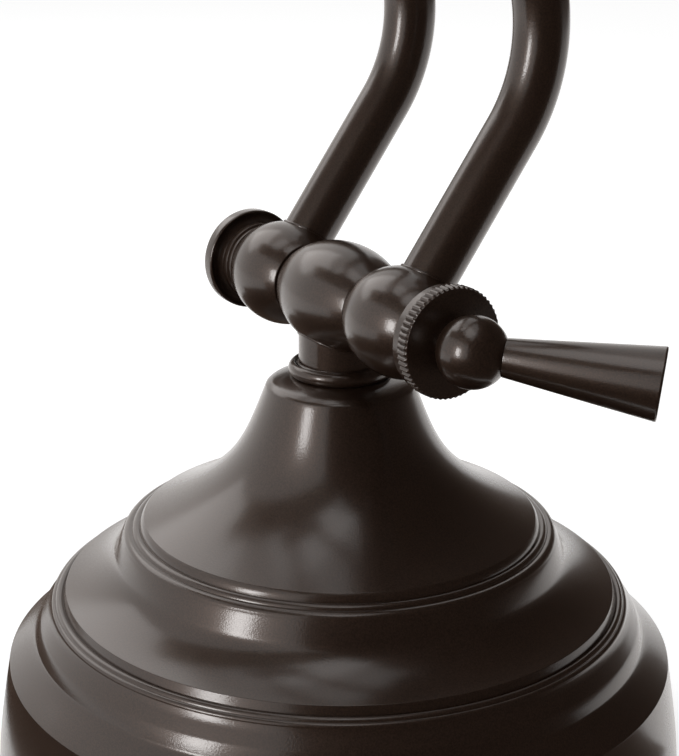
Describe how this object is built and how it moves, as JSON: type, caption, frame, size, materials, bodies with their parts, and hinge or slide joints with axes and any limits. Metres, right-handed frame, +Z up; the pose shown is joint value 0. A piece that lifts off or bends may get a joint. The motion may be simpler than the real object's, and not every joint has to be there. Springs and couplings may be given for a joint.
{
  "type": "piano lamp",
  "caption": "Free-standing piano lamp: stepped round base, lever-locked knuckle, twin bent arms and a wide tilting trough shade over the music.",
  "frame": {"origin": "on the table under the middle of the round base", "axes": "+Z up; +X along both pivot axes, towards the clamp lever and the switch; -Y towards the player, where the shade hangs"},
  "size_m": [0.3746, 0.2818, 0.3565],
  "materials": {
    "bronze": "dark oil-rubbed bronze lacquer on metal, satin gloss",
    "steel": "zinc-plated steel",
    "iron": "raw casting",
    "felt": "black wool felt",
    "rubber": "moulded black",
    "fibre": "dark fibre sheet",
    "phenolic": "moulded phenolic",
    "brass": "pressed",
    "glass": "frosted"
  },
  "bodies": {
    "base": {"base_shell": "bronze", "cord_bushing": "rubber", "base_weight": "iron", "base_plate": "steel", "felt_pad": "felt", "plate_screws": "steel", "centre_pipe": "steel", "lock_washer": "steel", "pipe_nut": "steel", "spacer_tube": "steel", "check_ring": "bronze", "stem": "bronze", "lower_centre_bead": "bronze", "lower_seam_washers": "fibre", "lower_pivot_bolt": "steel", "lower_end_ring": "bronze", "lower_end_cap": "bronze"},
    "tension_ring": {"knurled_ring": "bronze"},
    "lever": {"ball_hub": "bronze", "lever_handle": "bronze"},
    "arms": {"left_arm": "bronze", "right_arm": "bronze", "lower_left_bead": "bronze", "lower_right_bead": "bronze", "upper_left_bead": "bronze", "upper_right_bead": "bronze", "upper_pivot_bolt": "steel", "upper_end_ring": "bronze", "upper_end_cap": "bronze", "lower_thrust_washer": "fibre", "upper_thrust_washer": "fibre"},
    "lock_knob": {"lock_knob": "bronze"},
    "shade": {"upper_centre_bead": "bronze", "upper_seam_washers": "fibre", "shade_stem": "bronze", "shade_collar": "bronze", "shade_nipple": "steel", "shade_washer": "steel", "shade_nut": "steel", "shade_shell": "bronze", "shade_end_left": "bronze", "shade_end_right": "bronze", "holder_strap": "steel", "lamp_holder": "phenolic", "holder_nipple": "steel", "holder_nut": "steel", "holder_contact": "brass", "bulb_cap": "brass", "bulb_glass": "glass", "switch_body": "phenolic", "switch_ring_nut": "steel"},
    "switch": {"switch_spindle": "steel", "switch_knob": "bronze"}
  },
  "joints": [
    {"name": "arm_tilt", "type": "hinge", "parent": "base", "child": "arms", "pos_m": [0, 0, 0.12], "axis": [1, 0, 0], "range_deg": [-25, 45]},
    {"name": "clamp_lever_turn", "type": "hinge", "parent": "base", "child": "lever", "pos_m": [0.05205, 0, 0.12], "axis": [1, 0, 0], "range_deg": [-60, 60]},
    {"name": "tension_ring_turn", "type": "hinge", "parent": "base", "child": "tension_ring", "pos_m": [0.042, 0, 0.12], "axis": [1, 0, 0], "range_deg": [-180, 180]},
    {"name": "shade_tilt", "type": "hinge", "parent": "arms", "child": "shade", "pos_m": [0, -0.08374, 0.29991], "axis": [1, 0, 0], "range_deg": [-40, 40]},
    {"name": "lock_knob_turn", "type": "hinge", "parent": "arms", "child": "lock_knob", "pos_m": [0.044, -0.08374, 0.29991], "axis": [1, 0, 0], "range_deg": [-180, 180]},
    {"name": "switch_turn", "type": "hinge", "parent": "shade", "child": "switch", "pos_m": [0.183, -0.15019, 0.31091], "axis": [1, 0, 0], "continuous": true}
  ]
}
